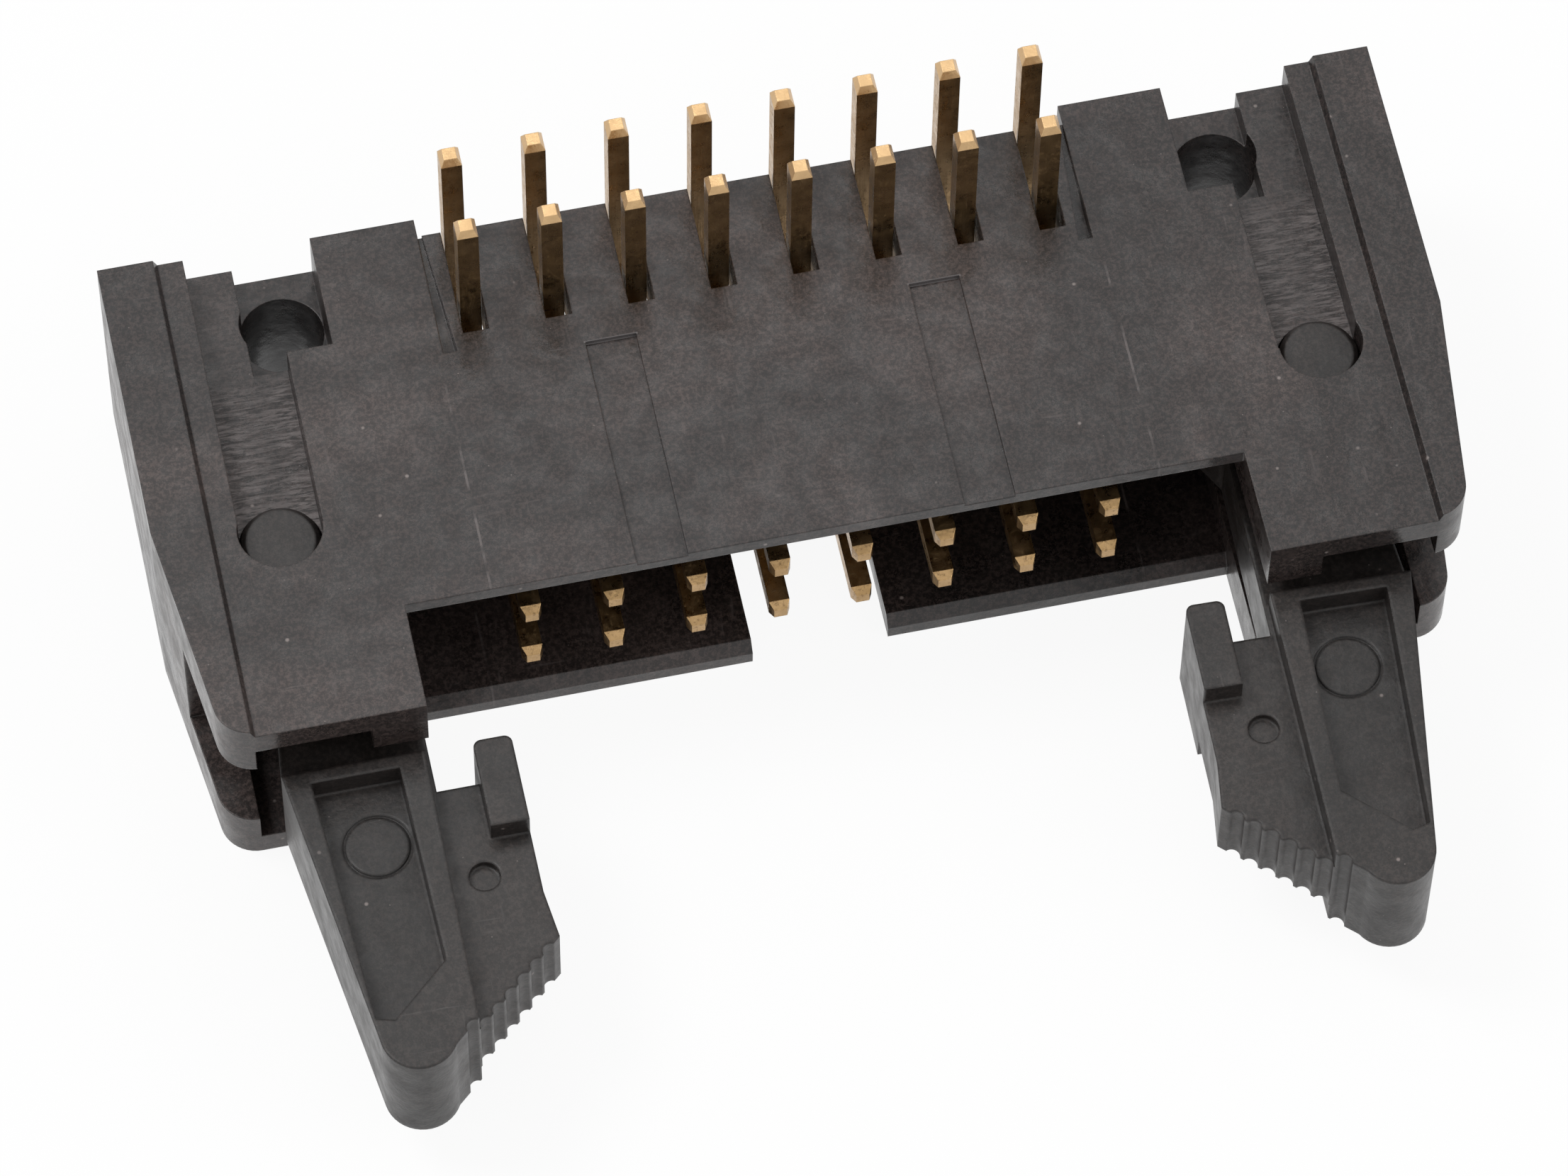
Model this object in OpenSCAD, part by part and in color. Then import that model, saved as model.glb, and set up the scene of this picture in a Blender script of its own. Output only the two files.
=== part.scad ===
// Right-angle shrouded header for a flat-cable socket, with two long ejector latches.
// It lies on its top wall: solder tails up, mating face towards -Y.
// Inside the modules y = 0 is the middle of the front row of tails.

/* [Contacts] */
// Distance between neighbouring contacts, along the row and between the rows
pitch = 2.54; // [2.5:0.01:2.56]
// Side of the square contact wire
wire = 0.64; // [0.5:0.01:0.7]
// Height of the solder tails above the board-side face
tail_h = 4.28; // [3:0.01:5]
// How far the mating tips stay behind the board-side wall's front edge
tip_back = 0.36; // [0.2:0.01:1]
// Length of the bevel at each contact tip
tip_bevel = 0.27; // [0.1:0.01:0.4]
// Inner radius of the contact bend
bend_r = 0.25; // [0.15:0.01:0.5]

/* [Housing] */
// Height of the housing without its board pads
body_h = 8.3; // [8:0.1:9]
// Half of the housing's overall length
half_len = 19.7; // [19.4:0.1:21]
// Half of the cavity's length
cavity_half = 12.75; // [12.4:0.05:13]
// Wall between the cavity and the board-side or the far face
wall = 0.9; // [0.8:0.05:1.1]
// Front edge of the board-side wall, ahead of the front tails
mouth = 9.95; // [9.6:0.05:10.4]
// How far the far wall stays behind the board-side wall
far_setback = 0.43; // [0.2:0.01:0.7]
// Depth of the cavity, from the board-side wall's front edge
cavity_depth = 6.65; // [6.3:0.05:7]
// Front face of the end blocks, ahead of the front tails
block_front = 13.4; // [13:0.05:13.8]
// How far the far plates of the end blocks stay behind the board-side ones
block_setback = 0.55; // [0.2:0.05:0.8]
// Rear face of the end blocks, behind the front tails
block_rear = 3.05; // [2.9:0.05:3.4]
// Half of the distance between the end blocks' rear parts
block_in = 10; // [9.9:0.05:10.3]
// Thickness of the end blocks' board-side plates
plate = 2; // [1.9:0.05:2.2]
// Radius of the end blocks' front corners in plan
corner_r = 1.1; // [0.6:0.1:1.4]
// Taper of the end blocks' sides towards the front, in degrees
side_taper = 7.1; // [4:0.1:9]
// Where that taper starts, ahead of the front tails
taper_start = 6.2; // [5.6:0.1:7]
// Width of the polarizing notch
notch_w = 4.22; // [3.8:0.02:4.6]
// Length of the polarizing notch
notch_len = 5.2; // [4.6:0.1:5.6]

/* [Board side] */
// Height of the two board pads
pad_h = 0.3; // [0.1:0.05:0.4]
// Where the pads start, from the middle of the header
pad_x = 17.87; // [17.7:0.01:18.2]
// Width of the slots that the tails stand in
slot_w = 0.8; // [0.76:0.01:1]
// Front end of those slots, ahead of the front tails
slot_front = 1.15; // [1:0.05:1.4]
// Rear edge of the comb, behind the front tails
comb_rear = 2.45; // [2.3:0.05:2.8]
// Distance from the middle to each mounting hole
hole_x = 14.5; // [14.4:0.05:14.6]
// Mounting hole, behind the front tails
hole_y = 1; // [0.8:0.05:1.2]
// Radius of the mounting holes
hole_r = 1.28; // [1.2:0.01:1.35]
// Depth of the ramp groove behind each pivot
ramp_deep = 1.1; // [0.9:0.05:1.2]
// Depth of the pocket round each mounting hole
pocket_deep = 1.95; // [1.6:0.05:2.2]

/* [Latches] */
// Distance from the middle to each pivot
pivot_x = 15.9; // [15.8:0.05:16]
// Pivot, ahead of the front tails
pivot_y = 6.65; // [6.6:0.05:6.9]
// Radius of the pivot pins
pivot_r = 1.2; // [1:0.01:1.2]
// Radial clearance of the pins in their holes
pivot_play = 0.08; // [0.02:0.01:0.1]
// How far the pin ends stay below the housing's faces
pin_sunk = 0.75; // [0.6:0.05:0.9]
// Thickness of a latch over its arm
latch_t = 4.15; // [4:0.05:4.3]
// Clearance between the latch and each end plate
latch_play = 0.05; // [0.03:0.01:0.15]
// Thickness of a latch over its web
web_t = 2.5; // [2:0.05:3]
// Distance from the pivot to the centre of the round tip
tip_reach = 16.18; // [15:0.1:18]
// Radius of the round tip
tip_r = 1.15; // [0.9:0.05:1.3]
// Pitch of the thumb serrations
rib_pitch = 0.6; // [0.5:0.02:0.64]
// Number of thumb serrations
rib_count = 7; // [4:1:7]
// Left latch, opened from its closed stop, in degrees
left_open = 1.6; // [0:0.1:29]
// Right latch, opened from its closed stop, in degrees
right_open = 0.1; // [0:0.1:29]

/* [Hidden] */
columns = 8;
$fn = 64;
over = 1;

// The latch slot lies between the two plates of each end block.
slot_h = latch_t + 2 * latch_play;
far_plate = body_h - plate - slot_h;
slot_mid = far_plate + slot_h / 2;
cavity_floor = -mouth + cavity_depth;
far_front = -mouth + far_setback;
lead_in = [0.3, 0.4];
wire_play = 0.02;
mouth_lip = 0.5;

// Contact rows, in the middle of the cavity's height
row_z = [body_h / 2 + pitch / 2, body_h / 2 - pitch / 2];
row_y = [0, pitch];
tip_bevel_in = 0.12;

// Pivot hole, and the pocket in which the latch boss turns
pivot_hole_r = pivot_r + pivot_play;
boss_r = 2.2;
boss_pocket_r = 2.6;
side_open = 9.02;
pin_len = body_h - pin_sunk - slot_mid;
pin_bevel = 0.15;
entry = [14.4, 17.9];
entry_wall = 0.92;
entry_stop = pivot_y + 2.6;

// Board-side grooves
ramp_in = 14.6;
ramp_out = 17.1;
pocket_x = [13.2, 15.65];
pocket_front = 0.72;
board_groove = [4.2, 5.75];
board_groove_deep = 0.15;
board_groove_rear = 2.2;
pad_slope = 0.13;
wedge_front = 1.73;
wedge_w = 0.43;
wedge_deep = 0.5;
wedge_end = 0.06;

// Latch outline, measured from its pivot: u outwards, v towards the rear.
// It is drawn this many degrees open.
drawn_open = 1.6;
arm_start = -7.1;
arm_out = 1.36;
arm_in = [-2.95, -2.85];
neck_out = [0.9, -2.4];
tip_u = -1.05;
hook_u = [-5.55, -4.38];
hook_front = -9.97;
hook_corner = 0.25;
web_rear = -8.12;
neck_in = -3.1;
thumb = [-5.73, -13.52];
thumb_bend = -12;
rib_r = 0.26;
rib_out = 0.1;
foot = [-5.2, 3.1];
pocket_wall = 0.83;
mark_r = 1;
mark_v = -9.55;
dimple = [-3.95, -11.15];
dimple_r = 0.47;
recess = (latch_t - web_t) / 2;

// Lowest point of a latch tip for a given opening, and the header's middle in Y
function tip_low(a) = -pivot_y + tip_u * sin(a) - tip_reach * cos(a) - tip_r;
front_end = min(tip_low(left_open - drawn_open), tip_low(right_open - drawn_open));
mid_y = (block_rear + front_end) / 2;

module seat() translate([0, -mid_y, 0]) children();

module both_sides() {
    children();
    mirror([1, 0, 0]) children();
}

// Box from its low corner to its high corner
module box(lo, hi) translate(lo) cube([hi[0] - lo[0], hi[1] - lo[1], hi[2] - lo[2]]);

// Extrudes a profile drawn in (y, z) along X
module along_x(x0, x1)
    translate([x0, 0, 0]) rotate([90, 0, 90]) linear_extrude(x1 - x0) children();

// Extrudes a profile drawn in (x, z) along Y
module along_y(y0, y1)
    translate([0, y1, 0]) rotate([90, 0, 0]) linear_extrude(y1 - y0) children();

// Plan of one end block, with its tapered side and round front corner
module block_plan(front) {
    corner_y = -front + corner_r;
    corner_x = half_len + (-corner_r + (corner_y + taper_start) * sin(side_taper)) / cos(side_taper);
    polygon([
        [cavity_half, block_rear],
        [half_len, block_rear],
        [half_len, -taper_start],
        [corner_x + corner_r * cos(side_taper), corner_y - corner_r * sin(side_taper)],
        [corner_x, corner_y],
        [corner_x, -front],
        [cavity_half, -front]
    ]);
    translate([corner_x, corner_y]) circle(corner_r);
}

// Plan of the space in which one latch turns, closed on the outside behind side_open
module latch_space() {
    translate([cavity_half - over, -block_front - over])
        square([half_len - cavity_half + 2 * over, block_front - side_open + over]);
    translate([cavity_half - over, -side_open - over])
        square([pivot_x + boss_pocket_r - cavity_half + over, side_open - pivot_y + over]);
    translate([pivot_x, -pivot_y]) circle(boss_pocket_r);
    translate([cavity_half - over, -pivot_y])
        square([pivot_x - cavity_half + over, pivot_y + cavity_floor]);
}

module end_block() {
    linear_extrude(far_plate) block_plan(block_front - block_setback);
    translate([0, 0, far_plate + slot_h]) linear_extrude(plate) block_plan(block_front);
    translate([0, 0, far_plate]) linear_extrude(slot_h) difference() {
        block_plan(block_front);
        latch_space();
    }
    box([block_in, cavity_floor, 0], [cavity_half, block_rear, body_h]);
    intersection() {
        translate([0, 0, body_h - over]) linear_extrude(2 * over) block_plan(block_front);
        along_y(-block_front, block_rear) polygon([
            [pad_x, body_h],
            [pad_x, body_h - over / 2],
            [half_len + over, body_h - over / 2],
            [half_len + over, body_h + pad_h],
            [pad_x + pad_slope, body_h + pad_h]
        ]);
    }
}

// Grooves, holes and pockets of one end block
module end_block_cuts() {
    top = body_h + over;
    translate([pivot_x, -pivot_y, -over]) cylinder(r = pivot_hole_r, h = body_h + 2 * over);
    translate([hole_x, hole_y, -over]) cylinder(r = hole_r, h = body_h + 2 * over);
    box([ramp_in, -pivot_y, body_h - ramp_deep], [ramp_out, block_rear + over, top]);
    box([pocket_x[0], -pocket_front, body_h - pocket_deep], [pocket_x[1], block_rear + over, top]);
    box([entry[0], -block_front - over, body_h - plate - over],
        [entry[1], -entry_stop, body_h - entry_wall]);
    box([entry[0], -block_front - over, entry_wall],
        [entry[1], -entry_stop, far_plate + over]);
}

// Middle of the housing: four walls, the floor that holds the contacts and the tail comb
module shroud() {
    box([-cavity_half, cavity_floor, 0], [cavity_half, -slot_front, body_h]);
    along_x(-cavity_half, cavity_half) polygon([
        [-slot_front, body_h],
        [-mouth, body_h],
        [-mouth, body_h - mouth_lip],
        [-mouth + lead_in[0], body_h - wall],
        [-slot_front, body_h - wall]
    ]);
    along_x(-cavity_half, cavity_half) polygon([
        [-slot_front, 0],
        [far_front, 0],
        [far_front, wall - lead_in[1]],
        [far_front + lead_in[0], wall],
        [-slot_front, wall]
    ]);
    box([-block_in, -slot_front, body_h - plate], [block_in, comb_rear, body_h]);
}

// Wedge-shaped relief between the comb and an end block, deepest at its front end
module comb_relief() intersection() {
    linear_extrude(body_h + over) polygon([
        [block_in, comb_rear + over],
        [block_in, -wedge_front],
        [block_in - wedge_w, -wedge_front],
        [block_in - wedge_end, comb_rear + over]
    ]);
    along_x(block_in - over, block_in + over) polygon([
        [-wedge_front, body_h + over],
        [-wedge_front, body_h - wedge_deep],
        [comb_rear + over, body_h - wedge_end],
        [comb_rear + over, body_h + over]
    ]);
}

module housing() color([0.13, 0.13, 0.13]) seat() difference() {
    union() {
        shroud();
        both_sides() end_block();
    }
    both_sides() end_block_cuts();
    both_sides() comb_relief();
    both_sides() box([board_groove[0], -mouth - over, body_h - board_groove_deep],
                     [board_groove[1], -board_groove_rear, body_h + over]);
    box([-notch_w / 2, far_front - over, -over],
        [notch_w / 2, far_front + notch_len, wall + over]);
    for (i = [0:columns - 1]) {
        x = column_x(i);
        box([x - slot_w / 2, -slot_front, body_h - plate - over],
            [x + slot_w / 2, comb_rear + over, body_h + over]);
        for (r = [0, 1])
            box([x - wire / 2 - wire_play, cavity_floor - over, row_z[r] - wire / 2 - wire_play],
                [x + wire / 2 + wire_play, -slot_front + over, row_z[r] + wire / 2 + wire_play]);
    }
}

function column_x(i) = (i - (columns - 1) / 2) * pitch;

// Square wire bent once, with bevelled tips; row 0 has the front tails, row 1 the rear ones
module contact(i, row) {
    x = column_x(i);
    y = row_y[row];
    z = row_z[row];
    half = wire / 2;
    outer = bend_r + wire;
    tip = -mouth + tip_back;
    top = body_h + tail_h;
    bend_y = y + half - outer;
    bend_z = z - half + outer;
    color([0.72, 0.55, 0.28]) seat() intersection() {
        along_x(x - half, x + half) {
            polygon([
                [tip, z - half + tip_bevel_in],
                [tip + tip_bevel, z - half],
                [bend_y, z - half],
                [bend_y, z + half],
                [tip + tip_bevel, z + half],
                [tip, z + half - tip_bevel_in]
            ]);
            intersection() {
                difference() {
                    translate([bend_y, bend_z]) circle(outer);
                    translate([bend_y, bend_z]) circle(bend_r);
                }
                translate([bend_y, bend_z - outer]) square(outer);
            }
            polygon([
                [y - half, bend_z],
                [y + half, bend_z],
                [y + half, top - tip_bevel],
                [y + half - tip_bevel_in, top],
                [y - half + tip_bevel_in, top],
                [y - half, top - tip_bevel]
            ]);
        }
        along_y(-mouth, y + over) polygon([
            [x - half, 0],
            [x + half, 0],
            [x + half, top - tip_bevel],
            [x + half - tip_bevel_in, top],
            [x - half + tip_bevel_in, top],
            [x - half, top - tip_bevel]
        ]);
        linear_extrude(top + over) polygon([
            [x - half, y + over],
            [x + half, y + over],
            [x + half, tip + tip_bevel],
            [x + half - tip_bevel_in, tip],
            [x - half + tip_bevel_in, tip],
            [x - half, tip + tip_bevel]
        ]);
    }
}

// Direction of the latch's outer edge, tangent to the round tip
tip_v = -tip_reach;
edge_tilt = atan2(arm_out - tip_u - tip_r, arm_start - tip_v);
thumb_dir = atan2(thumb[1] - tip_v + tip_r * 0.55, thumb[0] - tip_u + tip_r * 0.8);

// Inner corner of the tip, where the serrated edge begins
tip_inner = [tip_u - tip_r * 0.8, tip_v - tip_r * 0.55];

// The serrations are round grooves along the thumb edge.
module thumb_ribs() {
    for (k = [0:rib_count - 1]) {
        s = (k + 0.9) * rib_pitch;
        translate([
            thumb[0] + s * cos(thumb_dir + 180) - rib_out * sin(thumb_dir),
            thumb[1] + s * sin(thumb_dir + 180) + rib_out * cos(thumb_dir)
        ]) circle(rib_r, $fn = 24);
    }
}

// Plan of the arm, which has the latch's full thickness
module arm_plan() difference() {
    union() {
        polygon([
            [arm_in[0], arm_start],
            [arm_out, arm_start],
            [tip_u + tip_r * cos(edge_tilt), tip_v + tip_r * sin(-edge_tilt)],
            [tip_u, tip_v],
            tip_inner,
            [arm_in[1], thumb[1] + (arm_in[1] - thumb[0]) * tan(thumb_dir)]
        ]);
        translate([tip_u, tip_v]) circle(tip_r);
    }
    thumb_ribs();
}

// Plan of the web with the neck, and the foot that pushes the socket out
module web_plan() difference() {
    union() {
        polygon([
            [foot[0], foot[1] - 1.1],
            [foot[0] + 0.3, foot[1]],
            [foot[0] + 1.2, foot[1]],
            [0, boss_r],
            [neck_out[0], -1],
            neck_out,
            [arm_out, arm_start],
            [tip_u, tip_v],
            tip_inner,
            thumb,
            [hook_u[0], thumb_bend],
            [hook_u[0], hook_front],
            [hook_u[1], hook_front],
            [hook_u[1], web_rear],
            [neck_in, web_rear],
            [neck_in, -1.6]
        ]);
        circle(boss_r);
    }
    thumb_ribs();
}

// Plan of the hook that holds the socket, with rounded rear corners
module hook_plan() {
    w = hook_u[1] - hook_u[0];
    translate([hook_u[0], hook_front]) square([w, arm_start - hook_front - hook_corner]);
    translate([hook_u[0] + hook_corner, arm_start - 2 * hook_corner])
        square([w - 2 * hook_corner, 2 * hook_corner]);
    for (u = [hook_u[0] + hook_corner, hook_u[1] - hook_corner])
        translate([u, arm_start - hook_corner]) circle(hook_corner, $fn = 32);
}

// Plan of the shallow pocket in the arm
module arm_pocket() polygon([
    [arm_out - pocket_wall, arm_start - pocket_wall / 2],
    [arm_in[0] + pocket_wall, arm_start - pocket_wall / 2],
    [arm_in[0] + pocket_wall - 0.15, tip_v + 2.2],
    [tip_u + 0.6, tip_v + 0.55],
    [tip_u + tip_r, tip_v + 0.7]
]);

// Latch for the right-hand end, pivot at the origin, middle of its thickness at z = 0
module latch() {
    difference() {
        union() {
            translate([0, 0, -latch_t / 2]) linear_extrude(latch_t) {
                arm_plan();
                hook_plan();
                circle(boss_r);
            }
            translate([0, 0, -web_t / 2]) linear_extrude(web_t) web_plan();
        }
        for (m = [0, 1]) mirror([0, 0, m]) {
            translate([0, 0, web_t / 2]) linear_extrude(recess + over) arm_pocket();
            translate([tip_u, mark_v, web_t / 2 - 0.06]) difference() {
                cylinder(r = mark_r + 0.04, h = over);
                translate([0, 0, -over]) cylinder(r = mark_r - 0.04, h = 3 * over);
            }
            translate([dimple[0], dimple[1], web_t / 2 - 0.25]) cylinder(r = dimple_r, h = over);
        }
    }
    for (m = [0, 1]) mirror([0, 0, m]) {
        cylinder(r = pivot_r, h = pin_len - pin_bevel);
        translate([0, 0, pin_len - pin_bevel])
            cylinder(r1 = pivot_r, r2 = pivot_r - pin_bevel, h = pin_bevel);
    }
}

module latch_right() color([0.16, 0.16, 0.16]) seat()
    translate([pivot_x, -pivot_y, slot_mid]) rotate([0, 0, right_open - drawn_open]) latch();

module latch_left() color([0.16, 0.16, 0.16]) seat() mirror([1, 0, 0])
    translate([pivot_x, -pivot_y, slot_mid]) rotate([0, 0, left_open - drawn_open]) latch();

housing();
latch_left();
latch_right();
for (i = [0:columns - 1]) {
    contact(i, 0);
    contact(i, 1);
}
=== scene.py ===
import math

import bpy
from mathutils import Matrix, Vector


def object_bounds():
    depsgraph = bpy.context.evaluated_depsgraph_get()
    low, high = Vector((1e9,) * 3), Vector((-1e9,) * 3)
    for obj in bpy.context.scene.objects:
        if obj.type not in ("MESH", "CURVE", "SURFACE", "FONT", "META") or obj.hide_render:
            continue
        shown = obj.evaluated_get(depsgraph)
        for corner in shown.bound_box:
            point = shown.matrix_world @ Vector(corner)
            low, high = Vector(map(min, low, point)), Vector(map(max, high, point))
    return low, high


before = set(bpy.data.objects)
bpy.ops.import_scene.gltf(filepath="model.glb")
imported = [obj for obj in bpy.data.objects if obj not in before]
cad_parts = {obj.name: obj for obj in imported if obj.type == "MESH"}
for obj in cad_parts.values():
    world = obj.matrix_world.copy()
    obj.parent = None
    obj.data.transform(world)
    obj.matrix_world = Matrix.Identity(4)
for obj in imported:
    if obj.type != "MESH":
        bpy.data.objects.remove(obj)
cadLow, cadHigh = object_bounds()
mm = 0.001
print("frame loaded", len(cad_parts), "nodes")


# short helpers for shader trees

def startMaterial(name):
    material = bpy.data.materials.new(name)
    material.use_nodes = True
    tree = material.node_tree
    tree.nodes.clear()
    out = addNode(tree, "ShaderNodeOutputMaterial")
    shader = addNode(tree, "ShaderNodeBsdfPrincipled")
    tree.links.new(shader.outputs["BSDF"], out.inputs["Surface"])
    return material, tree, shader


def addNode(tree, kind, **settings):
    node = tree.nodes.new(kind)
    for key, value in settings.items():
        setattr(node, key, value)
    return node


def plug(tree, source, target):
    # source is a socket, or a plain value for the target socket
    if isinstance(source, bpy.types.NodeSocket):
        tree.links.new(source, target)
    else:
        target.default_value = source


def calc(tree, kind, a, b=0.0, c=None):
    node = addNode(tree, "ShaderNodeMath", operation=kind)
    plug(tree, a, node.inputs[0])
    plug(tree, b, node.inputs[1])
    if c is not None:
        plug(tree, c, node.inputs[2])
    return node.outputs[0]


def times(tree, product, *others):
    for other in others:
        product = calc(tree, "MULTIPLY", product, other)
    return product


def between(tree, value, span):
    # 1 inside the span and 0 outside it
    above = calc(tree, "GREATER_THAN", value, span[0])
    return times(tree, above, calc(tree, "LESS_THAN", value, span[1]))


def spread(tree, value, span, to=(0.0, 1.0)):
    # maps the span onto another one, smoothly and clamped
    node = addNode(tree, "ShaderNodeMapRange", interpolation_type="SMOOTHSTEP")
    plug(tree, value, node.inputs["Value"])
    for name, number in zip(("From Min", "From Max", "To Min", "To Max"), (*span, *to)):
        node.inputs[name].default_value = number
    return node.outputs["Result"]


def blendColours(tree, amount, a, b):
    node = addNode(tree, "ShaderNodeMix", data_type="RGBA")
    plug(tree, amount, node.inputs[0])
    for colour, target in ((a, node.inputs[6]), (b, node.inputs[7])):
        plug(tree, colour if isinstance(colour, bpy.types.NodeSocket) else (*colour, 1), target)
    return node.outputs[2]


def millimetres(tree, stretch=(1, 1, 1), turn=(0, 0, 0)):
    # the piece's own coordinates in millimetres, stretched and turned
    coords = addNode(tree, "ShaderNodeTexCoord")
    mapping = addNode(tree, "ShaderNodeMapping", vector_type="POINT")
    mapping.inputs["Scale"].default_value = tuple(1000 * s for s in stretch)
    mapping.inputs["Rotation"].default_value = tuple(math.radians(t) for t in turn)
    tree.links.new(coords.outputs["Object"], mapping.inputs["Vector"])
    return mapping.outputs["Vector"]


def cloud(tree, vector, scale, detail, roughness, warp=0.0):
    node = addNode(tree, "ShaderNodeTexNoise")
    tree.links.new(vector, node.inputs["Vector"])
    node.inputs["Scale"].default_value = scale
    node.inputs["Detail"].default_value = detail
    node.inputs["Roughness"].default_value = roughness
    node.inputs["Distortion"].default_value = warp
    return node.outputs["Fac"]


def layerNoise(tree, vector, layer):
    # a layer's noise, on coordinates of its own if it is stretched
    if "stretch" in layer:
        vector = millimetres(tree, layer["stretch"], layer.get("turn", (0, 0, 0)))
    return cloud(tree, vector, *layer["noise"])


def mask(tree, vector, layer):
    noise = layerNoise(tree, vector, layer)
    return spread(tree, noise, layer["span"], layer.get("to", (0.0, 1.0)))


def softEdges(tree, radius):
    # the small radius that every moulded or cut edge has
    node = addNode(tree, "ShaderNodeBevel", samples=6)
    node.inputs["Radius"].default_value = radius
    return node.outputs["Normal"]


def relief(tree, height, depth, normal):
    node = addNode(tree, "ShaderNodeBump")
    plug(tree, height, node.inputs["Height"])
    node.inputs["Strength"].default_value = 1.0
    node.inputs["Distance"].default_value = depth
    tree.links.new(normal, node.inputs["Normal"])
    return node.outputs["Normal"]


def seenDirectly(tree):
    # 1 for rays from the camera, mirror-like rays and rays through glass
    rays = addNode(tree, "ShaderNodeLightPath")
    straight = calc(tree, "MAXIMUM", rays.outputs["Is Camera Ray"], rays.outputs["Is Glossy Ray"])
    return calc(tree, "MAXIMUM", straight, rays.outputs["Is Transmission Ray"])


# black moulded plastic, with handling marks and dust; every noise is given as
# scale, detail, roughness and warp, and its span is cut out to make a mask

plasticLayers = {
    "patches": {"noise": (0.14, 3, 0.5, 0.8), "span": (0.44, 0.62)},
    "mottle": {"noise": (3.6, 6, 0.85), "span": (0.40, 0.62), "to": (0.45, 1.0)},
    "salt": {"noise": (6.5, 4, 0.9), "span": (0.44, 0.60)},
    "saltInDust": (0.35, 1.0),
    "saltShare": 0.36,
    "dustShare": 0.60,
    "rubsAlong": {
        "noise": (1.6, 6, 0.6, 0.3), "span": (0.60, 0.78),
        "stretch": (0.25, 3.2, 3.2), "turn": (0, 0, 7),
    },
    "rubsAcross": {
        "noise": (1.3, 6, 0.6, 0.3), "span": (0.60, 0.78),
        "stretch": (3.4, 0.3, 3.4), "turn": (0, 0, -12),
    },
    "rubbedAreas": {"noise": (0.24, 2, 0.5), "span": (0.44, 0.62)},
    "rubShare": 0.5,
    "rubRoughness": 0.2,
    "specks": (
        {"scale": 1.1, "least": 0.66, "share": 0.7},
        {"scale": 3.3, "least": 0.80, "share": 0.55},
    ),
    "speckSize": (0.03, 0.09),
    "speckFade": 0.12,
    "speckColour": (0.30, 0.255, 0.24),
    "glossNoise": {"noise": (1.1, 5, 0.6), "span": (0.3, 0.75)},
    "fineGrain": (8.0, 4, 0.6),
    "broadWaves": (0.8, 2, 0.5),
    "waveHeight": 5.0,
    "reliefDepth": 0.009 * mm,
    "refraction": 1.47,
}

housingLook = {
    "colour": (0.0105, 0.0088, 0.0086),
    "greyer": (0.108, 0.080, 0.073),
    "scuff": (0.150, 0.128, 0.124),
    "gloss": (0.22, 0.40),
    "edge": 0.06 * mm,
    "grainHeight": 0.6,
    "ramp": {
        "floor": 7.2,
        "floorSlack": 0.06,
        "inner": 14.62,
        "outer": 17.08,
        "rear": 9.9,
        "rearFade": 1.2,
        "rearWear": 0.15,
        "wearFrom": 0.25,
        "wearTo": 1.1,
        "middleWear": 0.5,
        "lines": {
            "noise": (1.3, 5, 0.7, 0.5), "span": (0.44, 0.62),
            "stretch": (1.0, 8.0, 1.0), "turn": (0, 0, 14),
        },
        "crossed": {
            "noise": (1.3, 5, 0.7, 0.5), "span": (0.50, 0.66),
            "stretch": (1.2, 7.0, 1.0), "turn": (0, 0, -22),
        },
        "share": 0.8,
        "colour": (0.19, 0.165, 0.16),
        "height": 4.0,
    },
    "parting": {
        "side": 10.15,
        "width": 0.035,
        "rear": 8.6,
        "broken": {"noise": (0.7, 3, 0.6), "span": (0.46, 0.60)},
        "share": 0.6,
    },
    # painted highlight along the rear end of the two shallow grooves
    "groove": {
        "span": (4.15, 5.8),
        "rear": 8.263,
        "width": 0.03,
        "above": 8.1,
        "share": 0.8,
        "colour": (0.13, 0.12, 0.12),
    },
}


def wearRamps(tree, plain, side, axes, ramp, colour, height):
    # short fine scratches that the latch pins leave on the ramp floors, thicker at the sides
    edgeSpans = (
        ((ramp["inner"] + ramp["wearFrom"], ramp["inner"] + ramp["wearTo"]),
         (1.0, ramp["middleWear"])),
        ((ramp["outer"] - ramp["wearTo"], ramp["outer"] - ramp["wearFrom"]),
         (ramp["middleWear"], 1.0)),
    )
    sideWear = calc(tree, "MAXIMUM", *(spread(tree, side, span, to) for span, to in edgeSpans))
    onFloor = calc(tree, "COMPARE", axes.outputs[2], ramp["floor"], ramp["floorSlack"])
    lengthwise = spread(tree, axes.outputs[1], (ramp["rear"] - ramp["rearFade"], ramp["rear"]),
                        (1.0, ramp["rearWear"]))
    inSpan = between(tree, side, (ramp["inner"], ramp["outer"]))
    onRamp = times(tree, onFloor, inSpan, lengthwise)
    lines = layerNoise(tree, plain, ramp["lines"])
    marks = calc(tree, "MAXIMUM", spread(tree, lines, ramp["lines"]["span"]),
                 mask(tree, plain, ramp["crossed"]))
    bright = times(tree, marks, onRamp, sideWear, ramp["share"])
    colour = blendColours(tree, bright, colour, ramp["colour"])
    height = calc(tree, "ADD", height, times(tree, lines, onRamp, ramp["height"]))
    return colour, height


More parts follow.
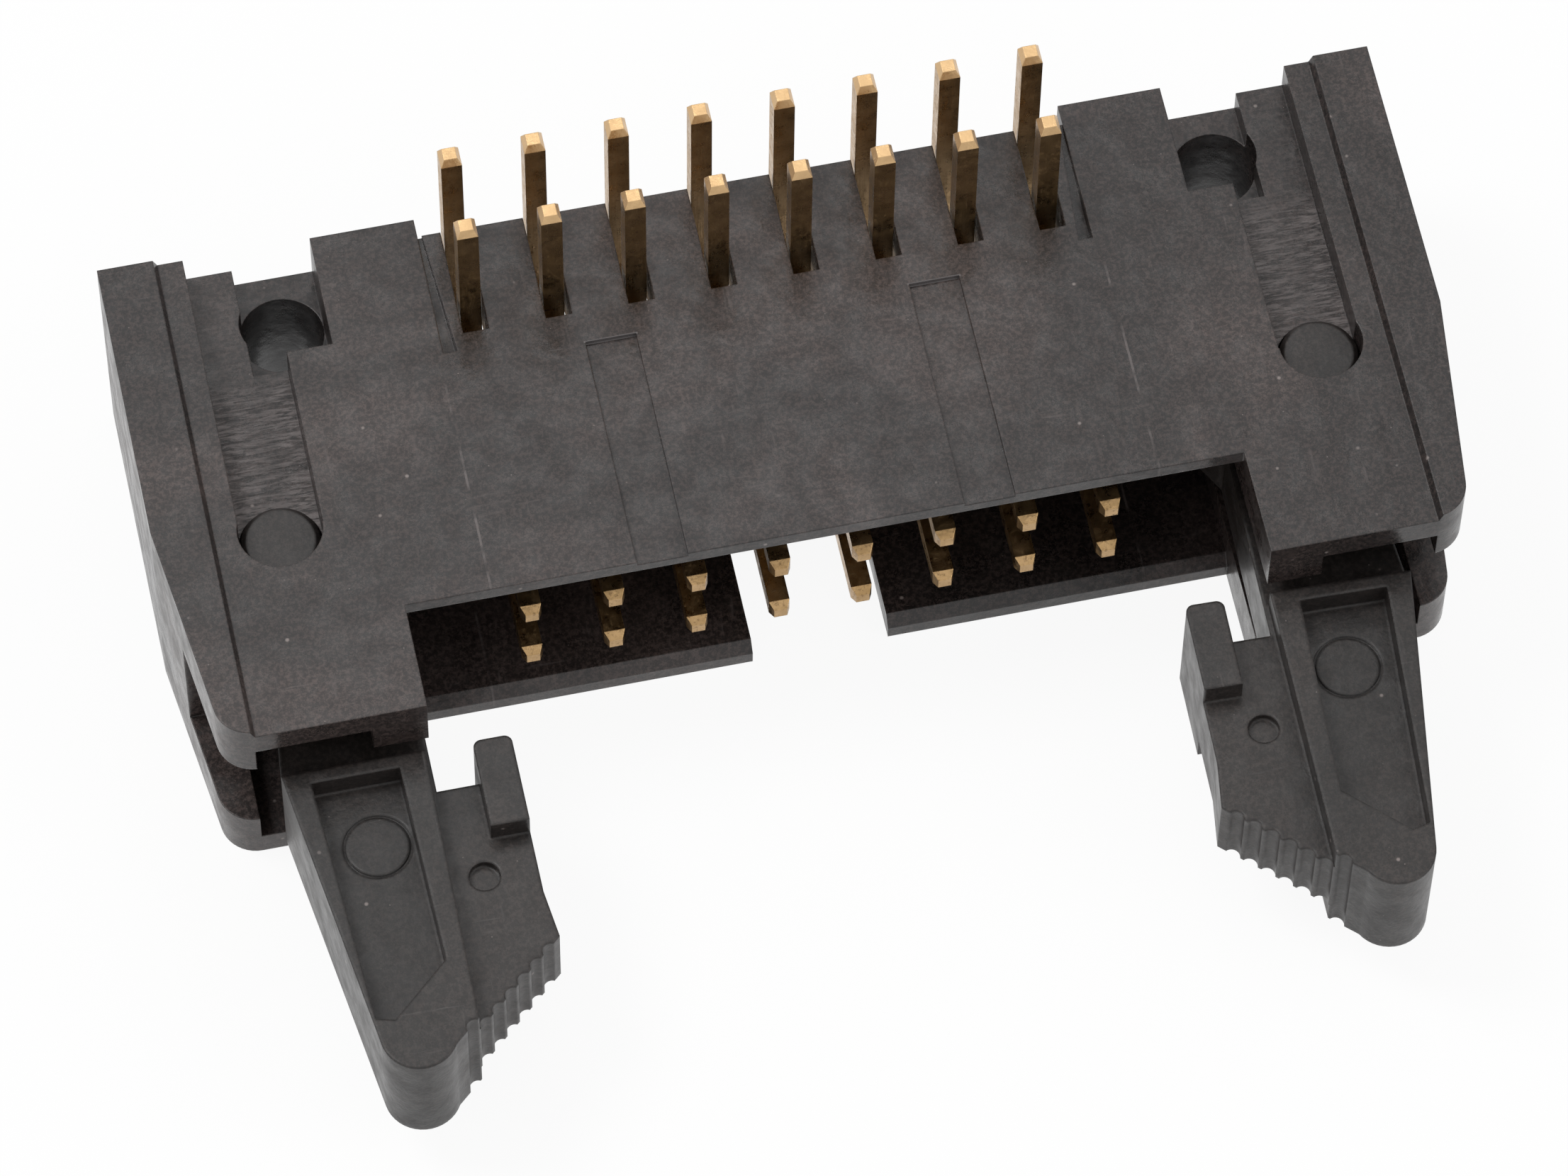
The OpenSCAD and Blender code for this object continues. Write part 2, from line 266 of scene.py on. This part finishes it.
def addPartingLineAndGrooveHighlight(tree, plain, side, axes, look, colour):
    # broken parting line beside each end block
    parting = look["parting"]
    line = calc(tree, "COMPARE", side, parting["side"], parting["width"])
    line = times(tree, line, calc(tree, "LESS_THAN", axes.outputs[1], parting["rear"]),
                 mask(tree, plain, parting["broken"]), parting["share"])
    colour = blendColours(tree, line, colour, look["scuff"])

    # painted highlight: a thin pale line along the rear end of the two shallow grooves, where
    # their edge catches light
    groove = look["groove"]
    paintedGrooveHighlight = calc(tree, "COMPARE", axes.outputs[1], groove["rear"], groove["width"])
    paintedGrooveHighlight = times(tree, paintedGrooveHighlight, calc(tree, "GREATER_THAN", axes.outputs[2], groove["above"]),
                   between(tree, side, groove["span"]), groove["share"])
    return blendColours(tree, paintedGrooveHighlight, colour, groove["colour"])


def plasticMaterial(name, look):
    layers = plasticLayers
    material, tree, shader = startMaterial(name)
    plain = millimetres(tree)
    salt = mask(tree, plain, layers["salt"])
    dusted = times(tree, mask(tree, plain, layers["patches"]), mask(tree, plain, layers["mottle"]),
                   spread(tree, salt, (0.0, 1.0), layers["saltInDust"]), layers["dustShare"])
    base = blendColours(tree, times(tree, salt, layers["saltShare"]),
                        look["colour"], look["greyer"])
    colour = blendColours(tree, dusted, base, look["greyer"])

    # light rubs, mostly along the row and a little across it
    rubs = calc(tree, "MAXIMUM", mask(tree, plain, layers["rubsAlong"]),
                mask(tree, plain, layers["rubsAcross"]))
    rubs = times(tree, rubs, mask(tree, plain, layers["rubbedAreas"]))
    colour = blendColours(tree, times(tree, rubs, layers["rubShare"]), colour, look["scuff"])

    # dust and pale specks, in two sizes
    for speck in layers["specks"]:
        cells = addNode(tree, "ShaderNodeTexVoronoi", feature="F1")
        tree.links.new(plain, cells.inputs["Vector"])
        cells.inputs["Scale"].default_value = speck["scale"]
        pick = addNode(tree, "ShaderNodeSeparateColor")
        tree.links.new(cells.outputs["Color"], pick.inputs[0])
        dot = spread(tree, cells.outputs["Distance"], layers["speckSize"], (1.0, 0.0))
        chosen = spread(tree, pick.outputs[0],
                        (speck["least"], speck["least"] + layers["speckFade"]))
        colour = blendColours(tree, times(tree, dot, chosen, speck["share"]),
                              colour, layers["speckColour"])

    gloss = layerNoise(tree, plain, layers["glossNoise"])
    rough = calc(tree, "ADD", spread(tree, gloss, layers["glossNoise"]["span"], look["gloss"]),
                 times(tree, rubs, layers["rubRoughness"]))
    height = calc(tree, "ADD",
                  times(tree, cloud(tree, plain, *layers["fineGrain"]), look["grainHeight"]),
                  times(tree, cloud(tree, plain, *layers["broadWaves"]), layers["waveHeight"]))

    if "ramp" in look:
        axes = addNode(tree, "ShaderNodeSeparateXYZ")
        tree.links.new(plain, axes.inputs[0])
        side = calc(tree, "ABSOLUTE", axes.outputs[0])
        colour, height = wearRamps(tree, plain, side, axes, look["ramp"], colour, height)
        # broken parting lines, and the painted highlight at the rear end of the two grooves
        colour = addPartingLineAndGrooveHighlight(tree, plain, side, axes, look, colour)

    plug(tree, colour, shader.inputs["Base Color"])
    plug(tree, rough, shader.inputs["Roughness"])
    shader.inputs["IOR"].default_value = layers["refraction"]
    normal = relief(tree, height, layers["reliefDepth"], softEdges(tree, look["edge"]))
    plug(tree, normal, shader.inputs["Normal"])
    return material


housingPlastic = plasticMaterial("housingPlastic", housingLook)

latchLook = {
    "colour": (0.0108, 0.0094, 0.0088),
    "greyer": (0.054, 0.043, 0.039),
    "scuff": (0.115, 0.106, 0.104),
    "gloss": (0.30, 0.46),
    "edge": 0.14 * mm,
    "grainHeight": 1.0,
}
latchPlastic = plasticMaterial("latchPlastic", latchLook)

# thin gold over copper alloy, with brown spots and paler cut tips

contactLook = {
    "gold": (0.40, 0.255, 0.115),
    "pale": (0.68, 0.46, 0.245),
    "brown": (0.17, 0.105, 0.055),
    "tone": {"noise": (1.4, 4, 0.6), "span": (0.3, 0.7), "to": (0.0, 0.4)},
    "drawn": {"noise": (1.5, 4, 0.6), "span": (0.40, 0.62), "stretch": (6, 6, 0.5)},
    "spots": {"noise": (9.0, 6, 0.8), "span": (0.48, 0.62)},
    "tipStart": (12.28, 12.33),
    "spotShare": 0.6,
    "tipShare": 0.7,
    "gloss": {"noise": (2.5, 5, 0.6), "span": (0.3, 0.7), "to": (0.24, 0.40)},
    "spotRoughness": 0.25,
    "drawnHeight": 2.0,
    "fineGrain": (6.0, 4, 0.6),
    "reliefDepth": 0.004 * mm,
    "edge": 0.03 * mm,
}


def goldMaterial(name, look):
    material, tree, shader = startMaterial(name)
    plain = millimetres(tree)
    axes = addNode(tree, "ShaderNodeSeparateXYZ")
    tree.links.new(plain, axes.inputs[0])
    colour = blendColours(tree, mask(tree, plain, look["tone"]), look["gold"], look["pale"])
    drawn = layerNoise(tree, plain, look["drawn"])
    tip = spread(tree, axes.outputs[2], look["tipStart"])
    spots = times(tree, mask(tree, plain, look["spots"]),
                  spread(tree, drawn, look["drawn"]["span"]),
                  calc(tree, "SUBTRACT", 1.0, tip))
    colour = blendColours(tree, times(tree, spots, look["spotShare"]), colour, look["brown"])
    colour = blendColours(tree, times(tree, tip, look["tipShare"]), colour, look["pale"])
    rough = calc(tree, "ADD", mask(tree, plain, look["gloss"]),
                 times(tree, spots, look["spotRoughness"]))
    height = calc(tree, "ADD", times(tree, drawn, look["drawnHeight"]),
                  cloud(tree, plain, *look["fineGrain"]))
    plug(tree, colour, shader.inputs["Base Color"])
    plug(tree, rough, shader.inputs["Roughness"])
    shader.inputs["Metallic"].default_value = 1.0
    normal = relief(tree, height, look["reliefDepth"], softEdges(tree, look["edge"]))
    plug(tree, normal, shader.inputs["Normal"])
    return material


contactGold = goldMaterial("contactGold", contactLook)

for nodeName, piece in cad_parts.items():
    if nodeName == "housing":
        material = housingPlastic
    elif nodeName.startswith("latch"):
        material = latchPlastic
    else:
        material = contactGold
    for index in range(len(piece.material_slots)):
        piece.material_slots[index].material = material
print("materials set")

# pale floor, white surroundings and soft lamps

studio = {
    "floorReach": 1.2,
    "floorTone": 0.94,
    "floorBright": 0.92,
    "floorDrop": 0.00002,
    "floorRoughness": 0.9,
    "floorSpecular": 0.1,
    "white": (1, 1, 1, 1),
    "ambient": 0.55,
    "lamps": {
        "keyLamp": {"place": (-0.18, 0.10, 0.34), "size": 0.16, "power": 0.62},
        "fillLamp": {"place": (0.26, -0.16, 0.24), "size": 0.22, "power": 0.26},
        "sheenLamp": {"place": (0.026, 0.183, 0.361), "size": 0.12, "power": 0.06},
    },
}


def makeFloor():
    bpy.ops.mesh.primitive_plane_add(size=studio["floorReach"],
                                     location=(0, 0, cadLow[2] - studio["floorDrop"]))
    floor = bpy.context.object
    floor.name = "floor"
    material, tree, shader = startMaterial("paleFloor")
    shader.inputs["Base Color"].default_value = (studio["floorTone"],) * 3 + (1,)
    shader.inputs["Roughness"].default_value = studio["floorRoughness"]
    shader.inputs["Specular IOR Level"].default_value = studio["floorSpecular"]
    glow = addNode(tree, "ShaderNodeEmission")
    glow.inputs["Color"].default_value = studio["white"]
    mix = addNode(tree, "ShaderNodeMixShader")
    plug(tree, times(tree, seenDirectly(tree), studio["floorBright"]), mix.inputs[0])
    plug(tree, shader.outputs[0], mix.inputs[1])
    plug(tree, glow.outputs[0], mix.inputs[2])

    # one-sided, so that the underside of the header can be looked at through it
    clear = addNode(tree, "ShaderNodeBsdfTransparent")
    facing = addNode(tree, "ShaderNodeNewGeometry")
    oneSided = addNode(tree, "ShaderNodeMixShader")
    plug(tree, facing.outputs["Backfacing"], oneSided.inputs[0])
    plug(tree, mix.outputs[0], oneSided.inputs[1])
    plug(tree, clear.outputs[0], oneSided.inputs[2])
    out = next(n for n in tree.nodes if n.type == "OUTPUT_MATERIAL")
    plug(tree, oneSided.outputs[0], out.inputs["Surface"])
    floor.data.materials.append(material)


def makeSurroundings():
    world = bpy.data.worlds.new("whiteRoom")
    bpy.context.scene.world = world
    world.use_nodes = True
    tree = world.node_tree
    tree.nodes.clear()
    out = addNode(tree, "ShaderNodeOutputWorld")
    backdrop = addNode(tree, "ShaderNodeBackground")
    ambient = addNode(tree, "ShaderNodeBackground")
    backdrop.inputs["Color"].default_value = studio["white"]
    ambient.inputs["Color"].default_value = studio["white"]
    ambient.inputs["Strength"].default_value = studio["ambient"]
    mix = addNode(tree, "ShaderNodeMixShader")
    plug(tree, seenDirectly(tree), mix.inputs[0])
    plug(tree, ambient.outputs[0], mix.inputs[1])
    plug(tree, backdrop.outputs[0], mix.inputs[2])
    plug(tree, mix.outputs[0], out.inputs["Surface"])


def makeLamp(name, place, size, power):
    data = bpy.data.lights.new(name, "AREA")
    data.shape = "DISK"
    data.size = size
    data.energy = power
    lamp = bpy.data.objects.new(name, data)
    bpy.context.collection.objects.link(lamp)
    lamp.location = place
    lamp.rotation_euler = (-Vector(place)).to_track_quat("-Z", "Y").to_euler()


makeFloor()
makeSurroundings()
for lampName, lamp in studio["lamps"].items():
    makeLamp(lampName, lamp["place"], lamp["size"], lamp["power"])
print("floor, surroundings and lamps made")

# camera: long lens from the front left, looking well down

view = {
    "place": (-29.86, -124.31, 238.03),
    "right": (0.97809, -0.20801, 0.00858),
    "up": (0.17825, 0.85803, 0.48168),
    "back": (-0.10755, -0.46959, 0.87631),
    "lens": 203.4,
    "sensor": 36,
    "clip": (0.01, 10),
}


def makeCamera():
    data = bpy.data.cameras.new("camera")
    data.lens = view["lens"]
    data.sensor_width = view["sensor"]
    data.clip_start, data.clip_end = view["clip"]
    camera = bpy.data.objects.new("camera", data)
    bpy.context.collection.objects.link(camera)
    sides = Matrix((view["right"], view["up"], view["back"])).transposed()
    camera.matrix_world = Matrix.Translation(Vector(view["place"]) * mm) @ sides.to_4x4()
    bpy.context.scene.camera = camera


makeCamera()
bpy.context.scene.view_settings.view_transform = "Standard"

print("scene ready")
